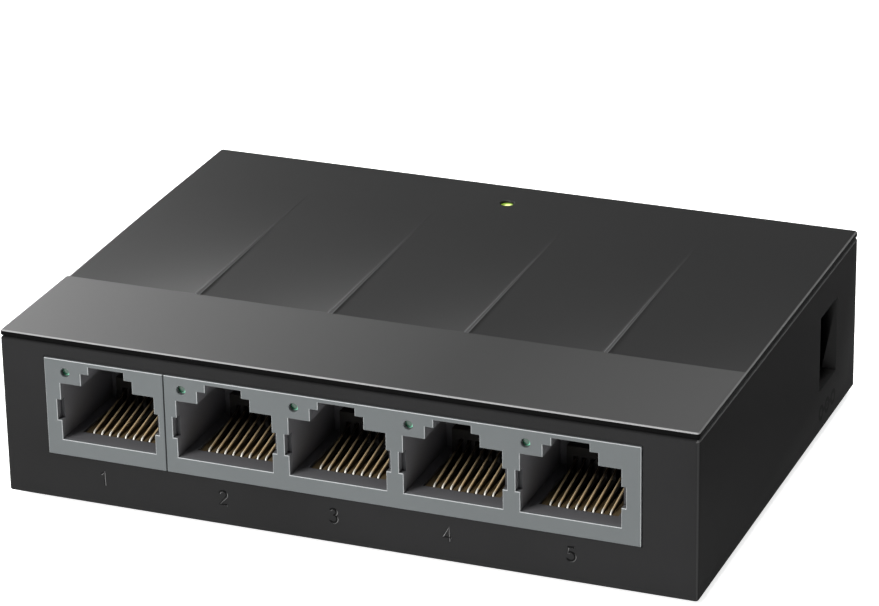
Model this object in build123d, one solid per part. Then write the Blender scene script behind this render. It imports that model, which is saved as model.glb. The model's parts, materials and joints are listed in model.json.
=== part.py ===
from build123d import *
import os
from math import cos, radians, sin

# A five-port desktop network switch, in millimetres.
# Frame: origin at the centre of the footprint, on the surface the feet stand on.
# +X is to the right and +Y to the rear, seen from the side with the sockets; +Z is up.

# --- Case -----------------------------------------------------------------
case_width = 85.0
case_depth = 62.0
case_height = 20.5          # without the feet
corner_radius = 0.4
edge_radius = 0.3
bottom_chamfer = 0.1
wall = 1.8
floor_thickness = 1.8
roof_thickness = 2.1
rim_height = 0.7            # visible edge of the cover
reveal_gap = 0.2            # shadow line between cover and shell
lip_thickness = 1.2
lip_height = 2.0
fit = 0.12                  # gap between plastic pieces that slip together
past = 1.0                  # how far a cutter reaches past the face it cuts

# --- Twisted facets of the top ---------------------------------------------
band_depth = 17.1           # flat band along the front edge
facet_count = 5
facet_depth = 0.45
facet_tail = 11.0           # flat strip left at the rear edge
facet_fade = 0.02

# --- Feet and rear screws ----------------------------------------------------
foot_proud = 1.0
foot_recess = 0.6
foot_radius = 3.2
foot_inset = 5.5
screw_radius = 1.1
screw_head_radius = 2.2
screw_head_height = 1.3
screw_clearance = 0.15
pilot_clearance = 0.02
boss_radius = 2.6
boss_wall = 1.0
boss_height = 11.0          # case bottom to where the two halves of a boss meet
screw_length = 12.0         # below the head
screw_slot = (2.4, 0.6, 0.7)

# --- Front hooks of the cover ------------------------------------------------
hook_width = 2.4
hook_thickness = 1.2
hook_drop = 6.0
hook_nose = 0.7
hook_nose_height = 1.0

# --- Circuit board -----------------------------------------------------------
board_thickness = 1.6
board_gap = 0.7             # board edge to the inside of the walls
board_rise = 5.75           # case bottom to the top face of the board
standoff_radius = 2.2
board_screw_radius = 0.9
board_screw_head = 1.9
board_screw_head_height = 1.2
board_screw_depth = 0.6     # how far the screw enters the floor
board_screw_slot = (2.0, 0.5)
board_screw_left = (8.0, 38.0)      # from the left side and from the front
board_screw_right = (24.0, 6.5)     # from the right side and from the rear

# --- Sockets -----------------------------------------------------------------
port_pitch = 13.97
port_count = 5
panel_left = -36.82         # left edge of the grey panel
left_edge_to_port = 7.86
port_to_seam = 7.26
seam_to_port = 7.48
port_to_right_edge = 8.23
panel_proud = 0.2
panel_chamfer = 0.2
seam_gap = 0.15
jack_roof = 0.51            # above the latch slots
jack_depth = 14.2
jack_back_wall = 1.2
cavity_floor = 2.0
main_half = 5.95
main_height = 7.14
step_half = 3.27
step_height = 8.67
slot_half = 2.25
slot_height = 9.64
notch_half = 6.49
notch_bottom = 2.42
notch_top = 5.03
notch_depth = 0.9           # only through the lip of the mouth
post_radius = 0.9
post_reach = 2.2
post_root = 0.5             # how far a post runs up into the housing
post_from_rear = 4.0
post_inset = 0.2

# --- Spring contacts ---------------------------------------------------------
contact_count = 8
contact_pitch = 1.02
contact_width = 0.36
contact_thickness = 0.3
bend_radius = 0.45
bend_setback = 3.5          # bend centre behind the case front
bend_below_floor = 0.5
arm_rise = 11.0             # degrees
arm_tip_gap = 0.35          # lets the tip swing inside its slot
hinge_gap = 0.12
groove_width = 0.56
carrier_half = 4.7
carrier_sink = 0.25         # top of the carrier below the socket floor
carrier_fit = 0.05
comb_thickness = 1.5
comb_wall = 0.5
comb_height = 1.2
comb_gap = 0.2
lead_row_y = (6.2, 8.74)    # pin rows behind the bend centre
lead_bend = 0.4
lead_below_board = 0.8
lead_hole_radius = 0.45

# --- Light pipes and lamps ---------------------------------------------------
pipe_radius = 0.5
pipe_fit = 0.05
pipe_offset = -5.26         # from the port's centre
pipe_rise = 8.56            # above the sockets' floor
pipe_recess = 0.5
pipe_bend = 1.2
pipe_behind_jack = 1.5
lamp_size = (1.6, 0.9, 0.7)
lamp_gap = 0.2
power_pipe_radius = 0.8
power_pipe_flange = 1.7
power_pipe_flange_height = 0.8
power_pipe_recess = 0.3
power_x = -1.0
power_from_rear = 5.7

# --- Power socket ------------------------------------------------------------
power_opening_width = 7.1
power_opening_height = 9.65
power_opening_drop = 0.3    # below the top face of the board
power_from_rear_wall = 11.95
power_body_length = 11.5
power_face_recess = 2.0
power_body_fit = 0.15
power_bore_radius = 2.1
power_bore_depth = 8.5
power_pin_radius = 0.65
power_pin_recess = 0.8
power_root_radius = 0.95    # the pin's thicker root, held in the socket's rear wall
power_root_length = 2.4
sleeve_spring_width = 1.6
sleeve_spring_thickness = 0.3
sleeve_spring_setback = 2.0     # behind the socket's face
sleeve_spring_tail = 2.0        # behind the bore's floor

# --- Parts on the board ------------------------------------------------------
single_transformer = (12.7, 7.2, 5.8)
quad_transformer = (28.0, 12.0, 6.2)
transformer_behind_jack = 7.6
quad_setback = 1.6          # centre of the long transformer behind the short one's
transformer_pitch = 1.27
transformer_edge = 1.0      # body left free beyond the lead rows
transformer_lead_width = 0.5
transformer_chamfer = 0.3
chip_size = (12.0, 12.0, 1.5)
chip_chamfer = 0.2
chip_pitch = 0.8
chip_leads_per_side = 14
chip_lead_width = 0.3
chip_x = -6.0
chip_behind_transformer = 5.6       # lead tips to lead tips
lead_thickness = 0.15
gull_reach = 1.0
standoff_air = 0.15         # gap under the moulded packages
crystal_size = (4.6, 11.2, 3.4)
crystal_corner = 2.2
crystal_edge = 0.6
crystal_from_chip = (15.0, 2.0)
can_radius = 3.15
can_height = 7.7
can_edge = 0.5
can_from_right = 9.0
can_before_socket = (10.6, 18.0)
inductor_size = (6.0, 6.0, 2.8)
inductor_corner = 1.2
inductor_gap = 0.15         # behind the transformer's lead tips
converter_from_right = 19.0     # inductor and regulator, from the case's right side
regulator_size = (4.9, 3.9, 1.5)
regulator_gap = 3.05        # behind the inductor
resistor_size = (1.0, 0.5, 0.35)
resistor_row = (-9.5, -9.4, 2.2, 8)     # from the chip's centre, pitch, count
resistor_column = (24.0, 4.0, 1.4, 4)   # from the right side, before the socket, pitch, count
capacitor_size = (1.6, 0.8, 0.8)
capacitors_per_row = 5
capacitors_by_chip = (-9.8, -5.0, 2.5)          # from the chip's centre, pitch
capacitors_by_port = (-5.0, 7.0, 2.5)           # from the first port and its transformer, pitch
capacitors_by_crystal = (20.0, -3.0, 2.0)       # from the chip's centre, pitch

# --- Underside ---------------------------------------------------------------
vent_width = 1.6
vent_length = 13.0
vent_pitch = 4.0
vent_count = 11
vent_centre_y = -6.0
label_size = (34.0, 13.0, 0.12)
label_recess = 0.15
label_y = 12.0

# --- Worked-out places -------------------------------------------------------
front = -case_depth / 2
rear = case_depth / 2
case_bottom = foot_proud
case_top = case_bottom + case_height
floor_top = case_bottom + floor_thickness
roof_bottom = case_top - roof_thickness
shell_top = case_top - rim_height - reveal_gap
inner_width = case_width - 2 * wall
inner_depth = case_depth - 2 * wall
board_height = case_bottom + board_rise
board_bottom = board_height - board_thickness
first_port_x = panel_left + left_edge_to_port
panel_seam = first_port_x + port_to_seam
second_port_x = panel_seam + seam_to_port
port_x = [first_port_x] + [second_port_x + i * port_pitch for i in range(port_count - 1)]
panel_right = port_x[-1] + port_to_right_edge
jack_front = front - panel_proud
jack_rear = front + jack_depth
cavity_rear = jack_rear - jack_back_wall
socket_floor = board_height + cavity_floor
jack_top = socket_floor + slot_height + jack_roof
bend_y = front + bend_setback
bend_z = socket_floor - bend_below_floor
arm_start_y = bend_y - bend_radius * sin(radians(arm_rise))
arm_tip_y = cavity_rear - carrier_fit - comb_wall - arm_tip_gap
arm_length = (arm_tip_y - arm_start_y) / cos(radians(arm_rise))
foot_x = case_width / 2 - foot_inset
foot_y = case_depth / 2 - foot_inset
power_y = rear - power_from_rear
socket_y = rear - power_from_rear_wall
socket_face_x = case_width / 2 - power_face_recess
pipe_z = socket_floor + pipe_rise
power_opening_bottom = board_height - power_opening_drop
lamp_y = jack_rear + pipe_behind_jack
screw_seat = case_bottom + foot_recess + screw_head_height + screw_clearance
screw_tip = screw_seat + screw_length
boss_joint = case_bottom + boss_height
hook_x = [(-inner_width / 2 + panel_left) / 2, (inner_width / 2 + panel_right) / 2]
board_screw_places = [
    (-case_width / 2 + board_screw_left[0], front + board_screw_left[1]),
    (case_width / 2 - board_screw_right[0], rear - board_screw_right[1]),
]


def block(x0, x1, y0, y1, z0, z1):
    """A box between two corners."""
    return Pos(x0, y0, z0) * Box(x1 - x0, y1 - y0, z1 - z0, align=(Align.MIN,) * 3)


def centred_block(x, y, z, size):
    """A box standing on height z, centred on x and y."""
    return Pos(x, y, z) * Box(*size, align=(Align.CENTER, Align.CENTER, Align.MIN))


def post(x, y, z0, z1, radius):
    """An upright cylinder."""
    height = z1 - z0
    return Pos(x, y, z0) * Cylinder(radius, height, align=(Align.CENTER, Align.CENTER, Align.MIN))


def rod_x(x0, x1, y, z, radius):
    """A cylinder along X."""
    return Pos((x0 + x1) / 2, y, z) * Rot(0, 90, 0) * Cylinder(radius, x1 - x0)


def rod_y(y0, y1, x, z, radius):
    """A cylinder along Y."""
    return Pos(x, (y0 + y1) / 2, z) * Rot(90, 0, 0) * Cylinder(radius, y1 - y0)


def rounded_slab(width, depth, z0, z1):
    """A slab with rounded upright corners."""
    slab = centred_block(0, 0, z0, (width, depth, z1 - z0))
    return fillet(slab.edges().filter_by(Axis.Z), corner_radius)


def join(pieces):
    """Separate solids kept as one group."""
    return Compound(children=[solid for piece in pieces for solid in piece.solids()])


def strip(line, width, thickness):
    """A flat strip along a bent line, drawn as (y, z) and centred on x = 0."""
    section = trace(line, thickness)
    return Plane.YZ * extrude(section, amount=width / 2, both=True)


# --- Case ----------------------------------------------------------------------
def base_shell():
    shell = rounded_slab(case_width, case_depth, case_bottom, shell_top)
    shell = fillet(shell.faces().sort_by(Axis.Z)[-1].edges(), edge_radius)
    shell = chamfer(shell.faces().sort_by(Axis.Z)[0].edges(), bottom_chamfer)
    shell -= centred_block(0, 0, floor_top, (inner_width, inner_depth, case_height))
    for x, y in board_screw_places:
        shell += post(x, y, case_bottom + floor_thickness / 2, board_bottom, standoff_radius)
        pilot_end = floor_top - board_screw_depth - pilot_clearance
        shell -= post(x, y, pilot_end, board_height, board_screw_radius + pilot_clearance)
    boss_foot = boss_radius + boss_wall - screw_clearance
    for side in (-1, 1):
        x = side * foot_x
        shell += post(x, foot_y, case_bottom + floor_thickness / 2, screw_seat + boss_wall, boss_foot)
        shell += post(x, foot_y, floor_top, boss_joint - fit, boss_radius)
        shell -= post(x, foot_y, case_bottom, screw_seat, screw_head_radius + screw_clearance)
        shell -= post(x, foot_y, case_bottom, boss_joint, screw_radius + screw_clearance)
        for y in (-foot_y, foot_y):
            shell -= post(x, y, case_bottom - foot_recess, case_bottom + foot_recess, foot_radius + fit)
    shell -= block(
        panel_left - fit, panel_right + fit,
        front - wall, front + 2 * wall,
        board_height - fit, jack_top + fit,
    )
    shell -= block(
        case_width / 2 - 2 * wall, case_width / 2 + wall,
        socket_y - power_opening_width / 2, socket_y + power_opening_width / 2,
        power_opening_bottom, power_opening_bottom + power_opening_height,
    )
    nose_top = roof_bottom - hook_drop + hook_nose_height
    for x in hook_x:
        shell -= block(
            x - hook_width / 2 - fit, x + hook_width / 2 + fit,
            front + wall - hook_nose - fit, front + 2 * wall,
            roof_bottom - hook_drop - fit, nose_top + fit,
        )
    for i in range(vent_count):
        x = (i - (vent_count - 1) / 2) * vent_pitch
        slot = SlotOverall(vent_length, vent_width, rotation=90)
        shell -= extrude(Pos(x, vent_centre_y, case_bottom - past) * slot, amount=floor_thickness + 2 * past)
    label_pocket = (label_size[0] + 2 * fit, label_size[1] + 2 * fit, past + label_recess)
    shell -= centred_block(0, label_y, case_bottom - past, label_pocket)
    return shell


def facet_cutter(index):
    """The wedge removed above one twisted facet, deepest at its left front corner."""
    width = case_width / facet_count
    x0 = -case_width / 2 + index * width
    x1 = x0 + width
    clear = case_top + past
    outlines = []
    for y, depth in ((front + band_depth, facet_depth), (rear - facet_tail, facet_fade)):
        corners = [(x0, y, clear), (x1, y, clear), (x1, y, case_top), (x0, y, case_top - depth)]
        outlines.append(Wire.make_polygon([Vector(*corner) for corner in corners]))
    return Solid.make_loft(outlines, ruled=True)


def top_cover():
    cover = rounded_slab(case_width, case_depth, case_top - rim_height, case_top)
    cover = fillet(cover.faces().sort_by(Axis.Z)[-1].edges(), edge_radius)
    plug_width = inner_width - 2 * fit
    plug_depth = inner_depth - 2 * fit
    cover += centred_block(0, 0, roof_bottom, (plug_width, plug_depth, roof_thickness - rim_height))
    lip = centred_block(0, 0, roof_bottom - lip_height, (plug_width, plug_depth, lip_height))
    lip -= centred_block(
        0, 0, roof_bottom - lip_height,
        (plug_width - 2 * lip_thickness, plug_depth - 2 * lip_thickness, lip_height),
    )
    socket_room = (case_width, 2 * (jack_depth + past), lip_height)
    lip -= centred_block(0, front, roof_bottom - lip_height, socket_room)
    cover += lip
    for x in hook_x:
        back = front + wall + fit
        low = roof_bottom - hook_drop
        cover += block(
            x - hook_width / 2, x + hook_width / 2, back, back + hook_thickness, low, roof_bottom
        )
        cover += block(
            x - hook_width / 2, x + hook_width / 2,
            front + wall - hook_nose, back, low, low + hook_nose_height,
        )
    for side in (-1, 1):
        x = side * foot_x
        cover += post(x, foot_y, boss_joint, roof_bottom, boss_radius)
        cover -= post(x, foot_y, boss_joint, screw_tip + fit, screw_radius + pilot_clearance)
    cover -= post(power_x, power_y, roof_bottom - past, case_top + past, power_pipe_radius + pipe_fit)
    for i in range(facet_count):
        cover -= facet_cutter(i)
    return cover


def case_screws():
    screws = []
    for side in (-1, 1):
        x = side * foot_x
        head_bottom = screw_seat - screw_head_height
        head = post(x, foot_y, head_bottom, screw_seat, screw_head_radius)
        length, width, depth = screw_slot
        head -= centred_block(x, foot_y, head_bottom, (length, width, depth))
        head -= centred_block(x, foot_y, head_bottom, (width, length, depth))
        screws.append(head + post(x, foot_y, screw_seat, screw_tip, screw_radius))
    return join(screws)


def foot(x, y):
    pad = post(x, y, 0, case_bottom + foot_recess, foot_radius)
    return fillet(pad.faces().sort_by(Axis.Z)[0].edges(), edge_radius)


def rating_label():
    return centred_block(0, label_y, case_bottom + label_recess - label_size[2], label_size)


# --- Sockets -------------------------------------------------------------------
def socket_cavity(x):
    """The hollow that one plug goes into."""
    y0 = jack_front - past
    z0 = socket_floor
    cavity = block(x - main_half, x + main_half, y0, cavity_rear, z0, z0 + main_height)
    cavity += block(x - step_half, x + step_half, y0, cavity_rear, z0 + main_height / 2, z0 + step_height)
    cavity += block(x - slot_half, x + slot_half, y0, cavity_rear, z0 + main_height / 2, z0 + slot_height)
    notch_back = jack_front + notch_depth
    cavity += block(x - notch_half, x + notch_half, y0, notch_back, z0 + notch_bottom, z0 + notch_top)
    return cavity


def contact_window(x):
    """The slot in the socket's floor that the contact carrier fills."""
    y0 = bend_y - bend_radius - contact_thickness / 2 - 2 * hinge_gap - carrier_fit
    bottom = board_height - past
    return block(x - carrier_half, x + carrier_half, y0, cavity_rear, bottom, socket_floor + past)


def jack_housing(x0, x1, centres, post_places):
    housing = block(x0, x1, jack_front, jack_rear, board_height, jack_top)
    housing = chamfer(housing.faces().sort_by(Axis.Y)[0].edges(), panel_chamfer)
    for x in centres:
        housing -= socket_cavity(x)
        housing -= contact_window(x)
        housing -= rod_y(jack_front - past, jack_rear + past, x + pipe_offset, pipe_z, pipe_radius + pipe_fit)
    for x in post_places:
        housing += post(x, post_y, board_height - post_reach, board_height + post_root, post_radius)
    return housing


post_y = jack_rear - post_from_rear
single_posts = [first_port_x - notch_half + post_inset, first_port_x + notch_half - post_inset]
ganged_posts = [port_x[1] + (i + 0.5) * port_pitch for i in (0, 2)]


def contact_x(index):
    return (index - (contact_count - 1) / 2) * contact_pitch


def contact_carrier(x):
    """The comb that holds one port's eight wires."""
    y0 = bend_y - bend_radius - contact_thickness / 2 - 2 * hinge_gap
    y1 = cavity_rear - carrier_fit
    half = carrier_half - carrier_fit
    arm_end_z = bend_z + bend_radius + arm_length * sin(radians(arm_rise))
    bridge = arm_end_z + contact_thickness / 2 + comb_gap
    carrier = block(x - half, x + half, y0, y1, board_height, socket_floor - carrier_sink)
    carrier += block(x - half, x + half, y1 - comb_thickness, y1, board_height, bridge + comb_height)
    groove_bottom = bend_z - bend_radius - contact_thickness / 2 - carrier_fit
    for i in range(contact_count):
        cx = x + contact_x(i)
        carrier -= block(
            cx - groove_width / 2, cx + groove_width / 2,
            y0 - past, y1 - comb_wall, groove_bottom, bridge,
        )
        row = bend_y + lead_row_y[i % 2]
        carrier -= block(
            cx - groove_width / 2, cx + groove_width / 2,
            row - lead_bend, row + groove_width / 2, board_height - past, bridge,
        )
    return carrier


def contact_leads(x):
    """The fixed wires: back under the socket's floor, then down through the board."""
    leads = []
    level = bend_z - bend_radius
    for i in range(contact_count):
        row = bend_y + lead_row_y[i % 2]
        pin_end = board_bottom - lead_below_board
        corners = [(bend_y + hinge_gap, level), (row, level), (row, pin_end)]
        line = FilletPolyline(*corners, radius=lead_bend)
        leads.append(Pos(x + contact_x(i), 0, 0) * strip(line, contact_width, contact_thickness))
    return join(leads)


def contact_arms(x):
    """The sprung wires: a tight bend at the front, then a rising arm towards the rear."""
    rise = radians(arm_rise)
    bottom = Vector(bend_y, bend_z - bend_radius)
    nose = Vector(bend_y - bend_radius, bend_z)
    top = Vector(bend_y - bend_radius * sin(rise), bend_z + bend_radius * cos(rise))
    tip = top + Vector(cos(rise), sin(rise)) * arm_length
    line = ThreePointArc(bottom, nose, top) + Line(top, tip)
    arm = strip(line, contact_width, contact_thickness)
    return join([Pos(x + contact_x(i), 0, 0) * arm for i in range(contact_count)])


# --- Light pipes and lamps -----------------------------------------------------
def port_light_pipe(x):
    """A clear rod that runs back over the socket and bends down to its lamp."""
    px = x + pipe_offset
    low = board_height + lamp_size[2] + lamp_gap
    points = [(px, front - panel_proud + pipe_recess, pipe_z), (px, lamp_y, pipe_z), (px, lamp_y, low)]
    path = FilletPolyline(*points, radius=pipe_bend)
    return sweep(Plane(points[0], z_dir=(0, 1, 0)) * Circle(pipe_radius), path=path)


def power_light_pipe():
    low = board_height + lamp_size[2] + lamp_gap
    pipe = post(power_x, power_y, low, case_top - power_pipe_recess, power_pipe_radius)
    flange_top = roof_bottom - pipe_fit
    flange_bottom = flange_top - power_pipe_flange_height
    return pipe + post(power_x, power_y, flange_bottom, flange_top, power_pipe_flange)


def port_lamps():
    return join([centred_block(x + pipe_offset, lamp_y, board_height, lamp_size) for x in port_x])


def power_lamp():
    return centred_block(power_x, power_y, board_height, lamp_size)


# --- Circuit board and what is on it ---------------------------------------------
def circuit_board():
    width = inner_width - 2 * board_gap
    depth = inner_depth - 2 * board_gap
    board = centred_block(0, 0, board_bottom, (width, depth, board_thickness))
    notch = foot_inset - wall + boss_radius + board_gap / 2
    for side in (-1, 1):
        corner_x = side * (inner_width / 2 - notch / 2)
        corner_y = inner_depth / 2 - notch / 2
        board -= centred_block(corner_x, corner_y, board_bottom, (notch, notch, board_thickness))
    for x, y in board_screw_places:
        board -= post(x, y, board_bottom, board_height, board_screw_radius + screw_clearance)
    for x in port_x:
        for i in range(contact_count):
            row = bend_y + lead_row_y[i % 2]
            board -= post(x + contact_x(i), row, board_bottom, board_height, lead_hole_radius)
    for x in single_posts + ganged_posts:
        board -= post(x, post_y, board_bottom, board_height, post_radius + carrier_fit)
    return board


def board_screws():
    screws = []
    for x, y in board_screw_places:
        head = post(x, y, board_height, board_height + board_screw_head_height, board_screw_head)
        head = fillet(head.faces().sort_by(Axis.Z)[-1].edges(), board_screw_head_height / 2)
        length, width = board_screw_slot
        slot_bottom = board_height + board_screw_head_height / 2
        head -= centred_block(x, y, slot_bottom, (length, width, board_screw_head_height))
        head -= centred_block(x, y, slot_bottom, (width, length, board_screw_head_height))
        screws.append(head + post(x, y, floor_top - board_screw_depth, board_height, board_screw_radius))
    return join(screws)


def gull_lead(reach, top, width):
    """One bent lead that starts at the origin's wall, drops and ends flat on the board."""
    middle = reach / 2
    shoulder = block(-width / 2, width / 2, 0, middle, top, top + lead_thickness)
    heel = middle - lead_thickness
    shin = block(-width / 2, width / 2, heel, middle, board_height, top + lead_thickness)
    sole = block(-width / 2, width / 2, heel, reach, board_height, board_height + lead_thickness)
    return shoulder + shin + sole


def lead_row(x, y, count, pitch, turn, top, width):
    """A row of bent leads along one side of a package, turned about Z."""
    row = []
    for i in range(count):
        along = (i - (count - 1) / 2) * pitch
        lead = Pos(along, 0, 0) * gull_lead(gull_reach, top, width)
        row.append(Pos(x, y, 0) * Rot(0, 0, turn) * lead)
    return row


def package(place, size, chamfer_size):
    """A moulded package, slightly above the board."""
    body = centred_block(place[0], place[1], board_height + standoff_air, size)
    return chamfer(body.faces().sort_by(Axis.Z)[-1].edges(), chamfer_size)


transformer_y = jack_rear + transformer_behind_jack
single_place = (first_port_x, transformer_y)
quad_place = ((port_x[1] + port_x[-1]) / 2, transformer_y + quad_setback)
transformer_rear = quad_place[1] + quad_transformer[1] / 2 + gull_reach
chip_place = (chip_x, transformer_rear + chip_behind_transformer + gull_reach + chip_size[1] / 2)
converter_x = case_width / 2 - converter_from_right
inductor_y = transformer_rear + inductor_gap + inductor_size[1] / 2
regulator_y = inductor_y + inductor_size[1] / 2 + regulator_gap + regulator_size[1] / 2


def switch_chip_leads():
    leads = []
    top = board_height + standoff_air + chip_size[2] / 2
    for turn in (0, 90, 180, 270):
        offset = Vector(0, chip_size[1] / 2, 0).rotate(Axis.Z, turn)
        x = chip_place[0] + offset.X
        y = chip_place[1] + offset.Y
        leads += lead_row(x, y, chip_leads_per_side, chip_pitch, turn, top, chip_lead_width)
    return join(leads)


def transformer_leads():
    leads = []
    for place, size in ((single_place, single_transformer), (quad_place, quad_transformer)):
        count = int((size[0] - transformer_edge) / transformer_pitch)
        top = board_height + standoff_air + size[2] / 4
        for turn in (0, 180):
            y = place[1] + (size[1] / 2) * (1 if turn == 0 else -1)
            leads += lead_row(place[0], y, count, transformer_pitch, turn, top, transformer_lead_width)
    return join(leads)


def crystal():
    x = chip_place[0] + crystal_from_chip[0]
    y = chip_place[1] + crystal_from_chip[1]
    case = centred_block(x, y, board_height + standoff_air, crystal_size)
    case = fillet(case.edges().filter_by(Axis.Z), crystal_corner)
    return fillet(case.faces().sort_by(Axis.Z)[-1].edges(), crystal_edge)


def bulk_capacitors():
    cans = []
    for before in can_before_socket:
        x = case_width / 2 - can_from_right
        can = post(x, socket_y - before, board_height, board_height + can_height, can_radius)
        cans.append(fillet(can.faces().sort_by(Axis.Z)[-1].edges(), can_edge))
    return join(cans)


def power_inductor():
    body = centred_block(converter_x, inductor_y, board_height, inductor_size)
    return fillet(body.edges().filter_by(Axis.Z), inductor_corner)


def chip_resistors():
    along, behind, pitch, count = resistor_row
    places = [(chip_place[0] + along + pitch * i, chip_place[1] + behind) for i in range(count)]
    from_right, before, pitch, count = resistor_column
    places += [(case_width / 2 - from_right, socket_y - before - pitch * i) for i in range(count)]
    return join([centred_block(x, y, board_height, resistor_size) for x, y in places])


def chip_capacitors():
    places = []
    for i in range(capacitors_per_row):
        x, y, pitch = capacitors_by_chip
        places.append((chip_place[0] + x, chip_place[1] + y + pitch * i))
        x, y, pitch = capacitors_by_port
        places.append((first_port_x + x + pitch * i, transformer_y + y))
        x, y, pitch = capacitors_by_crystal
        places.append((chip_place[0] + x, chip_place[1] + y + pitch * i))
    return join([centred_block(x, y, board_height, capacitor_size) for x, y in places])


# --- Power socket --------------------------------------------------------------
socket_body_width = power_opening_width - 2 * power_body_fit
socket_body_top = power_opening_bottom + power_opening_height - power_body_fit
bore_z = (board_height + socket_body_top) / 2
bore_bottom_x = socket_face_x - power_bore_depth
body_rear_x = socket_face_x - power_body_length


def dc_jack_body():
    body = block(
        body_rear_x, socket_face_x,
        socket_y - socket_body_width / 2, socket_y + socket_body_width / 2, board_height, socket_body_top,
    )
    body = chamfer(body.faces().sort_by(Axis.X)[-1].edges(), panel_chamfer)
    body -= rod_x(bore_bottom_x, socket_face_x + past, socket_y, bore_z, power_bore_radius)
    root_hole = power_root_radius + pilot_clearance
    body -= rod_x(body_rear_x - past, bore_bottom_x + past, socket_y, bore_z, root_hole)
    slot_low = bore_z - power_bore_radius - sleeve_spring_thickness
    body -= block(
        body_rear_x - past, socket_face_x - sleeve_spring_setback,
        socket_y - sleeve_spring_width / 2 - pipe_fit, socket_y + sleeve_spring_width / 2 + pipe_fit,
        slot_low - pipe_fit, bore_z - power_bore_radius / 2,
    )
    return body


def dc_jack_centre_pin():
    tip = socket_face_x - power_pin_recess
    root = rod_x(bore_bottom_x - power_root_length, bore_bottom_x, socket_y, bore_z, power_root_radius)
    pin = rod_x(bore_bottom_x, tip, socket_y, bore_z, power_pin_radius)
    return root + fillet(pin.faces().sort_by(Axis.X)[-1].edges(), power_pin_radius / 2)


def dc_jack_sleeve_contact():
    low = bore_z - power_bore_radius - sleeve_spring_thickness
    return block(
        bore_bottom_x - sleeve_spring_tail, socket_face_x - sleeve_spring_setback - pipe_fit,
        socket_y - sleeve_spring_width / 2, socket_y + sleeve_spring_width / 2,
        low, low + sleeve_spring_thickness,
    )


ganged_left = panel_seam + seam_gap / 2
single_right = panel_seam - seam_gap / 2

nodes = {
    "base_shell": base_shell(),
    "top_cover": top_cover(),
    "case_screws": case_screws(),
    "foot_front_left": foot(-foot_x, -foot_y),
    "foot_front_right": foot(foot_x, -foot_y),
    "foot_rear_left": foot(-foot_x, foot_y),
    "foot_rear_right": foot(foot_x, foot_y),
    "rating_label": rating_label(),
    "port_1_jack_housing": jack_housing(panel_left, single_right, port_x[:1], single_posts),
    "ports_2_to_5_jack_housing": jack_housing(ganged_left, panel_right, port_x[1:], ganged_posts),
    "circuit_board": circuit_board(),
    "board_screws": board_screws(),
    "switch_chip": package(chip_place, chip_size, chip_chamfer),
    "switch_chip_leads": switch_chip_leads(),
    "port_1_transformer": package(single_place, single_transformer, transformer_chamfer),
    "ports_2_to_5_transformer": package(quad_place, quad_transformer, transformer_chamfer),
    "transformer_leads": transformer_leads(),
    "crystal": crystal(),
    "bulk_capacitors": bulk_capacitors(),
    "power_inductor": power_inductor(),
    "regulator_chip": package((converter_x, regulator_y), regulator_size, chip_chamfer),
    "chip_resistors": chip_resistors(),
    "chip_capacitors": chip_capacitors(),
    "port_leds": port_lamps(),
    "power_led": power_lamp(),
    "power_light_pipe": power_light_pipe(),
    "dc_jack_body": dc_jack_body(),
    "dc_jack_centre_pin": dc_jack_centre_pin(),
    "dc_jack_sleeve_contact": dc_jack_sleeve_contact(),
}
for number, x in enumerate(port_x, start=1):
    nodes[f"port_{number}_contact_carrier"] = contact_carrier(x)
    nodes[f"port_{number}_contact_leads"] = contact_leads(x)
    nodes[f"port_{number}_contact_arms"] = contact_arms(x)
    nodes[f"port_{number}_light_pipe"] = port_light_pipe(x)

os.makedirs("parts", exist_ok=True)
for name, shape in nodes.items():
    export_step(shape, f"parts/{name}.step")
print(len(nodes), "nodes")
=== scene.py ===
import json
import math

import bmesh
import bpy
from mathutils import Matrix, Vector
from mathutils.geometry import delaunay_2d_cdt


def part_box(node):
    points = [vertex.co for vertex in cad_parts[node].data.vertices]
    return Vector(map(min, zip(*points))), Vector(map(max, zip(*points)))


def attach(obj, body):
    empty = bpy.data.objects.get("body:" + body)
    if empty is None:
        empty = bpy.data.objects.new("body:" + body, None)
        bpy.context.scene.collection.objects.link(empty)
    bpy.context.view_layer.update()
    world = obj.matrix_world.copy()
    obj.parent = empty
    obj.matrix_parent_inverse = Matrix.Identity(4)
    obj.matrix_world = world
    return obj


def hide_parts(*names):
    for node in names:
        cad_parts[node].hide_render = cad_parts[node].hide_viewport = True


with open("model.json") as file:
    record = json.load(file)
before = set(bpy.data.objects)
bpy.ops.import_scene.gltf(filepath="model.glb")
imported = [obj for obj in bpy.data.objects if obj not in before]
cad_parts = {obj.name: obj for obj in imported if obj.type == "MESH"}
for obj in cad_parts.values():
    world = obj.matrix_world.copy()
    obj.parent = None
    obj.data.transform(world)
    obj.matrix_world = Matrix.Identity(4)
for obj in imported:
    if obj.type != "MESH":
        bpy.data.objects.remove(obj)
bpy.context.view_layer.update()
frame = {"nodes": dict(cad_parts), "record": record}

MM = 0.001
BODY = "body"
PORTS = (1, 2, 3, 4, 5)
scene = bpy.context.scene


# --- Camera -------------------------------------------------------------------
CAMERA_PLACE = Vector((161.512, -400.974, 203.15)) * MM
CAMERA_AIM = Vector((-1.04, 2.43, 17.22)) * MM
CAMERA_ROLL = math.radians(-1.0)
LENS = 161.9
SENSOR_WIDTH = 36.0
CLIP_NEAR, CLIP_FAR = 0.01, 20.0


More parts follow.
